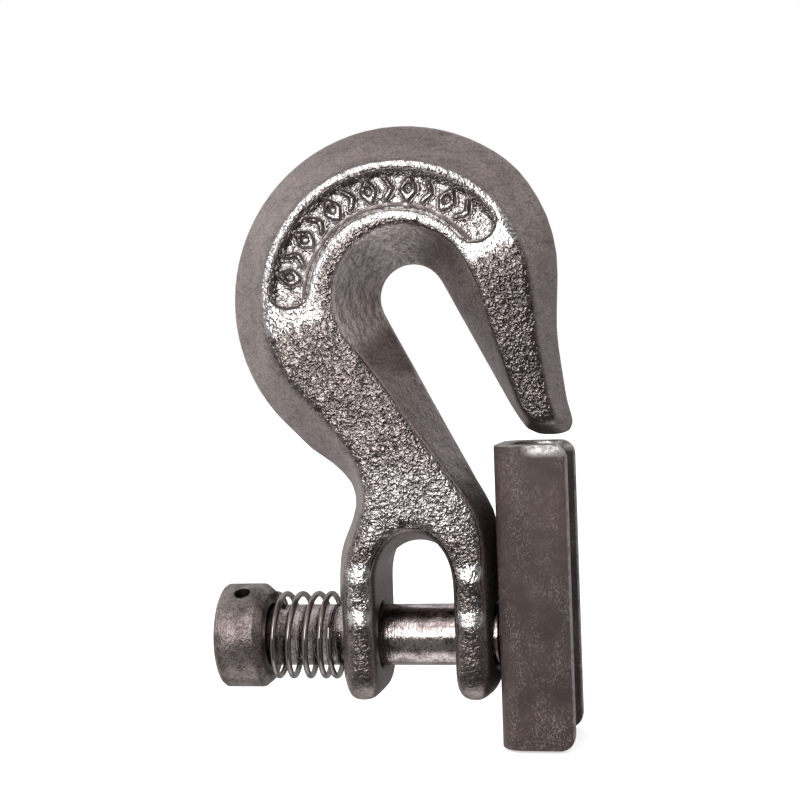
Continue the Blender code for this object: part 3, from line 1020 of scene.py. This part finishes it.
@dataclass
class PinSet:
    """The load pin with its formed head, the collar and the slotted roll pin that joins them."""

    pin_radius: float = 5.55 * MM
    neck_radius: float = 4.0 * MM
    collar_radius: float = 9.5 * MM
    hole_radius: float = 1.5 * MM
    hole_tilt: float = math.radians(62.5)
    roll_radius: float = 1.25 * MM
    roll_wall: float = 0.4 * MM
    roll_length: float = 16.0 * MM

    def cross_place(self) -> Matrix:
        """Where the roll pin's own axis lies."""
        low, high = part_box("collar")
        middle = (low.x + high.x) / 2
        return Matrix.Translation((middle, 0.0, 0.0)) @ Matrix.Rotation(math.pi / 2 - self.hole_tilt, 4, "X")

    def build_pin(self, material: bpy.types.Material) -> None:
        """Turn the load pin.

        Args:
            material: its finish.
        """
        low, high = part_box("load_pin")
        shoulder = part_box("latch_channel")[0].x - 0.3 * MM
        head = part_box("latch_washer")[1].x + 0.3 * MM
        rise = high.x - head
        break_edge = 0.35 * MM
        profile = (
            (low.x, 0.0),
            (low.x, self.pin_radius - 0.9 * MM),
            (low.x + 0.25 * MM, self.pin_radius - 0.45 * MM),
            (low.x + 0.8 * MM, self.pin_radius),
            (shoulder - break_edge, self.pin_radius),
            (shoulder, self.pin_radius - break_edge),
            (shoulder, self.neck_radius),
            (head, self.neck_radius),
            (head, 5.2 * MM),
            (head + 0.20 * rise, 5.6 * MM),
            (head + 0.38 * rise, 5.55 * MM),
            (head + 0.60 * rise, 5.0 * MM),
            (head + 0.80 * rise, 4.1 * MM),
            (head + 0.93 * rise, 2.8 * MM),
            (high.x, 1.3 * MM),
            (high.x, 0.0),
        )
        place_piece(turned("load_pin_turned", profile), Body.PIN, "load_pin", material)

    def build_collar(self, material: bpy.types.Material) -> None:
        """Turn the collar and drill it across.

        Args:
            material: its finish.
        """
        low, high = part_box("collar")
        bore = self.pin_radius + 0.3 * MM
        radius = self.collar_radius
        profile = (
            (low.x, bore + 0.3 * MM),
            (low.x, radius - 0.85 * MM),
            (low.x + 0.25 * MM, radius - 0.35 * MM),
            (low.x + 0.75 * MM, radius),
            (high.x - 1.6 * MM, radius),
            (high.x - 1.35 * MM, radius - 0.1 * MM),
            (high.x - 0.2 * MM, radius - 1.05 * MM),
            (high.x, radius - 1.3 * MM),
            (high.x, bore),
            (low.x + 0.3 * MM, bore),
        )
        collar = turned("collar_turned", profile, 144)
        drilled(collar, drill_bit(self.hole_radius, 3 * radius, self.cross_place()))
        place_piece(collar, Body.PIN, "collar", material)

    def build_roll_pin(self, material: bpy.types.Material) -> None:
        """Roll the slotted pin from strip.

        Args:
            material: its finish.
        """
        slit = math.radians(32.0)
        inner = self.roll_radius - self.roll_wall
        half = self.roll_length / 2
        bm = bmesh.new()
        section = (
            (inner, -half),
            (self.roll_radius - 0.2 * MM, -half),
            (self.roll_radius, -half + 0.5 * MM),
            (self.roll_radius, half - 0.5 * MM),
            (self.roll_radius - 0.2 * MM, half),
            (inner, half),
        )
        verts = [bm.verts.new((radius, 0.0, z)) for radius, z in section]
        wall = bm.faces.new(verts)
        bmesh.ops.rotate(bm, verts=verts, cent=(0, 0, 0), matrix=Matrix.Rotation(slit / 2, 3, "Z"))
        bmesh.ops.spin(
            bm, geom=[wall], cent=(0, 0, 0), axis=(0, 0, 1), angle=math.tau - slit, steps=32, use_merge=False
        )
        bmesh.ops.transform(bm, matrix=self.cross_place(), verts=bm.verts)
        place_piece(settle(bm, "roll_pin_slotted"), Body.PIN, "roll_pin", material)


@dataclass
class ReturnSpring:
    """The left-hand coil between the collar and the ear, closed at its ends."""

    radius: float = 7.5 * MM
    wire: float = 0.55 * MM
    travel: float = 5.0 * MM
    # Each stretch of coil: how many turns it winds, and how far it moves along X.
    stretches: tuple[tuple[float, float], ...] = (
        (0.5, 0.45),
        (1.0, 2.75),
        (1.0, 3.2),
        (1.0, 2.95),
        (1.0, 2.05),
        (0.3, 0.2),
    )

    def build(self, material: bpy.types.Material) -> None:
        """Wind the coil and let it shorten towards the ear.

        Args:
            material: its finish.
        """
        low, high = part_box("spring")
        bm = bmesh.new()
        place = Matrix.Translation((low.x + self.wire, 0.0, self.radius)) @ Matrix.Rotation(math.pi / 2, 4, "X")
        ring = bmesh.ops.create_circle(bm, cap_ends=True, segments=14, radius=self.wire, matrix=place)
        end = list({face for vert in ring["verts"] for face in vert.link_faces})
        for turns, along in self.stretches:
            steps = max(2, round(turns * 48))
            made = bmesh.ops.spin(
                bm,
                geom=end,
                cent=(0, 0, 0),
                axis=-X_AXIS,
                dvec=X_AXIS * (along * MM / steps),
                angle=turns * math.tau,
                steps=steps,
                use_merge=False,
            )
            end = [item for item in made["geom_last"] if isinstance(item, bmesh.types.BMFace)]
        spring = settle(bm, "return_spring", 60.0)
        place_piece(spring, Body.HOOK, "spring", material)
        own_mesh(spring)


@dataclass
class TwistLatch:
    """The folded channel across the mouth, and the washer that it turns on."""

    sheet: float = 2.5 * MM
    bend: float = 4.0 * MM
    corner: float = 2.7 * MM
    neck_hole: float = 4.3 * MM
    edge: float = 0.35 * MM

    def folded(self) -> bmesh.types.BMesh:
        """Fold the sheet and round its free corners.

        Returns:
            The channel without its hole.
        """
        low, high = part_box("latch_channel")
        bm = bmesh.new()
        line = ((high.x, low.y), (low.x, low.y), (low.x, high.y), (high.x, high.y))
        verts = [bm.verts.new((x, y, low.z)) for x, y in line]
        edges = [bm.edges.new(pair) for pair in zip(verts, verts[1:])]
        made = bmesh.ops.extrude_edge_only(bm, edges=edges)
        raised = [item for item in made["geom"] if isinstance(item, bmesh.types.BMVert)]
        bmesh.ops.translate(bm, verts=raised, vec=(0.0, 0.0, high.z - low.z))
        near_web = low.x + 0.1 * MM
        folds = [e for e in bm.edges if all(v.co.x < near_web for v in e.verts) and len(e.link_faces) == 2]
        bmesh.ops.bevel(
            bm, geom=folds, offset=self.bend, affect="EDGES", segments=10, profile=0.5, material=-1
        )
        corners = [v for v in bm.verts if v.co.x > high.x - 0.1 * MM]
        bmesh.ops.bevel(
            bm, geom=corners, offset=self.corner, affect="VERTICES", segments=8, profile=0.5, material=-1
        )
        bmesh.ops.recalc_face_normals(bm, faces=bm.faces)
        centre = Vector((high.x, 0.0, 0.0))
        outward = sum((face.normal.dot(face.calc_center_median() - centre) for face in bm.faces), 0.0)
        if outward < 0.0:
            bmesh.ops.reverse_faces(bm, faces=bm.faces)
        bmesh.ops.solidify(bm, geom=bm.faces, thickness=self.sheet)
        bmesh.ops.recalc_face_normals(bm, faces=bm.faces)
        return bm

    def build(self, material: bpy.types.Material, washer_material: bpy.types.Material) -> None:
        """Make the channel and its washer.

        Args:
            material: the sheet's finish.
            washer_material: the washer's finish.
        """
        channel = settle(self.folded(), "latch_channel_folded", 30.0)
        low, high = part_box("latch_channel")
        place = Matrix.Translation((low.x, 0.0, 0.0)) @ Matrix.Rotation(math.pi / 2, 4, "Y")
        drilled(channel, drill_bit(self.neck_hole, 4 * self.sheet, place), 30.0)
        rounding = channel.modifiers.new("broken_edge", "BEVEL")
        rounding.width = self.edge
        rounding.segments = 3
        rounding.limit_method = "ANGLE"
        rounding.angle_limit = math.radians(50.0)
        applied(channel, 30.0)
        self.refine(channel)
        place_piece(channel, Body.LATCH, "latch_channel", material)
        start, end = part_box("latch_washer")
        inner, outer, chamfer = self.neck_hole, end.z, 0.25 * MM
        profile = (
            (start.x, inner),
            (start.x, outer - chamfer),
            (start.x + chamfer, outer),
            (end.x - chamfer, outer),
            (end.x, outer - chamfer),
            (end.x, inner),
        )
        washer = turned("latch_washer_ring", profile, 96)
        place_piece(washer, Body.LATCH, "latch_washer", washer_material)

    def refine(self, channel: bpy.types.Object) -> None:
        """Store where the sheet's edges are rubbed and painted bright as a highlight, on faces cut fine enough
        to hold it.

        Args:
            channel: the folded channel.
        """
        mesh = channel.data
        low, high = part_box("latch_channel")
        bm = bmesh.new()
        bm.from_mesh(mesh)
        cuts = [((0.0, 0.0, high.z - drop * MM), (0.0, 0.0, 1.0)) for drop in (0.35, 0.8, 1.3, 1.8, 2.4)]
        cuts += [((low.x + along * MM, 0.0, 0.0), (1.0, 0.0, 0.0)) for along in (5.0, 6.0, 7.0, 8.0)]
        for place, normal in cuts:
            everything = list(bm.verts) + list(bm.edges) + list(bm.faces)
            bmesh.ops.bisect_plane(bm, geom=everything, dist=0.001 * MM, plane_co=place, plane_no=normal)
        bm.to_mesh(mesh)
        bm.free()
        mesh.shade_smooth()
        mesh.set_sharp_from_angle(angle=math.radians(30.0))
        co = vectors(mesh.vertices, "co")
        # painted highlight with wear on the flange's top edge, its crest and its free edge
        top = fade(co[:, 2], high.z - 2.4 * MM, high.z - 0.8 * MM)
        top *= fade(co[:, 0], low.x + 5.0 * MM, low.x + 8.0 * MM)
        free_edge = 0.30 * fade(co[:, 0], high.x - 0.34 * MM, high.x - 0.10 * MM)
        crest = 0.45 * fade(co[:, 2], high.z - 0.34 * MM, high.z - 0.10 * MM)
        store(mesh, "rim", np.maximum(np.maximum(top, crest), free_edge))


# ---------------------------------------------------------------------------------------------
# Studio


@dataclass(frozen=True)
class SoftBox:
    """A rectangular soft light, aimed at the middle of the hook."""

    name: str
    azimuth: float
    elevation: float
    distance: float
    width: float
    height: float
    radiance: float

    def build(self, target: Vector) -> None:
        """Hang the light.

        Args:
            target: where it points.
        """
        light = bpy.data.lights.new(self.name, "AREA")
        light.shape = "RECTANGLE"
        light.size = self.width
        light.size_y = self.height
        light.energy = self.radiance * math.pi * self.width * self.height
        lamp = bpy.data.objects.new(self.name, light)
        way = direction(self.azimuth, self.elevation)
        lamp.location = target + way * self.distance
        lamp.rotation_euler = way.to_track_quat("Z", "Y").to_euler()
        bpy.context.scene.collection.objects.link(lamp)


def direction(azimuth: float, elevation: float) -> Vector:
    """The unit vector towards a viewpoint: azimuth 0 is the front, and grows to the right.

    Args:
        azimuth: degrees round the Z axis.
        elevation: degrees above the horizon.

    Returns:
        The unit vector.
    """
    turn, rise = math.radians(azimuth), math.radians(elevation)
    return Vector((math.sin(turn) * math.cos(rise), -math.cos(turn) * math.cos(rise), math.sin(rise)))


@dataclass
class Studio:
    """Camera, lights, world and pale floor."""

    target: Vector = field(default_factory=lambda: Vector((-2.61, 0.0, 42.76)) * MM)
    azimuth: float = 10.96
    elevation: float = 0.77
    roll: float = math.radians(1.98)
    distance: float = 280.54 * MM
    lens: float = 69.35
    boxes: tuple[SoftBox, ...] = (
        SoftBox("key_box", -13.0, 9.5, 0.45, 0.19, 0.24, 8.0),
        SoftBox("fill_box", -14.0, 37.0, 0.50, 0.24, 0.24, 2.8),
    )

    def add_camera(self) -> None:
        """Put up the camera."""
        data = bpy.data.cameras.new("camera")
        data.lens = self.lens
        data.sensor_width = 36.0
        data.clip_start = 0.01
        data.clip_end = 50.0
        camera = bpy.data.objects.new("camera", data)
        back = direction(self.azimuth, self.elevation)
        turn = math.radians(self.azimuth)
        right = Vector((math.cos(turn), math.sin(turn), 0.0))
        up = back.cross(right)
        across = right * math.cos(self.roll) - up * math.sin(self.roll)
        upright = right * math.sin(self.roll) + up * math.cos(self.roll)
        rotation = Matrix((across, upright, back)).transposed().to_4x4()
        camera.matrix_world = Matrix.Translation(self.target + back * self.distance) @ rotation
        bpy.context.scene.collection.objects.link(camera)
        bpy.context.scene.camera = camera

    def add_world(self) -> None:
        """Light the room: a white table below, pale walls, a dim camera side; the camera sees white."""
        world = bpy.data.worlds.new("room")
        world.use_nodes = True
        bpy.context.scene.world = world
        graph = Graph(world.node_tree)
        background = world.node_tree.nodes["Background"]
        ways = graph.add("ShaderNodeSeparateXYZ")
        graph.feed(ways.inputs[0], graph.add("ShaderNodeTexCoord").outputs["Generated"])
        across, depth, height = ways.outputs
        room: object = 0.22
        for value, low, high, gain in (
            (across, -0.35, -0.90, 0.78),
            (across, 0.40, 0.95, 0.28),
            (height, 0.15, 0.70, 0.62),
            (height, -0.80, -0.97, 1.50),
            (depth, 0.10, 0.70, 0.22),
        ):
            room = graph.math("ADD", room, graph.spread(value, low, high, 0.0, gain))
        seen = graph.add("ShaderNodeLightPath").outputs["Is Camera Ray"]
        graph.feed(background.inputs["Color"], (1.0, 1.0, 1.0, 1.0))
        graph.feed(background.inputs["Strength"], graph.math("MAXIMUM", room, seen))

    def add_floor(self) -> None:
        """Lay the pale floor just under the hook."""
        low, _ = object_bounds()
        bm = bmesh.new()
        place = Matrix.Translation((0.0, 0.0, low[2] - 0.4 * MM))
        bmesh.ops.create_grid(bm, x_segments=4, y_segments=4, size=8.0, matrix=place)
        floor = settle(bm, "studio_floor")
        material, graph, shader = new_material("pale_floor")
        shader.inputs["Metallic"].default_value = 0.0
        shader.inputs["Roughness"].default_value = 0.9
        shade = graph.grain(graph.objects(), 9.0, 2.0)
        colour = graph.mix(shade, (0.93, 0.93, 0.93), (0.97, 0.97, 0.97))
        graph.feed(shader.inputs["Base Color"], colour)
        graph.feed(shader.inputs["Emission Color"], colour)
        shader.inputs["Emission Strength"].default_value = 0.55
        floor.data.materials.append(material)
        floor.visible_glossy = False
        floor.visible_shadow = False
        floor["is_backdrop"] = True

    def build(self) -> None:
        """Set up the whole studio."""
        self.add_camera()
        self.add_world()
        self.add_floor()
        for box in self.boxes:
            box.build(self.target)
        bpy.context.scene.view_settings.view_transform = "Standard"
        LOG.info("studio: %d soft boxes", len(self.boxes))


def main() -> None:
    """Build every piece in order."""
    logging.basicConfig(level=logging.INFO, format="%(name)s %(message)s")
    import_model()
    Studio().build()
    effects = Effects()
    Forging().build(ForgedFinish().material(effects))
    pins = PinSet()
    pins.build_pin(PIN_FINISH.material(effects))
    pins.build_collar(COLLAR_FINISH.material(effects))
    pins.build_roll_pin(ROLL_FINISH.material(effects))
    ReturnSpring().build(WIRE_FINISH.material(effects))
    TwistLatch().build(ScaleFinish().material(effects), WASHER_FINISH.material(effects))


if __name__ == "__main__":
    main()
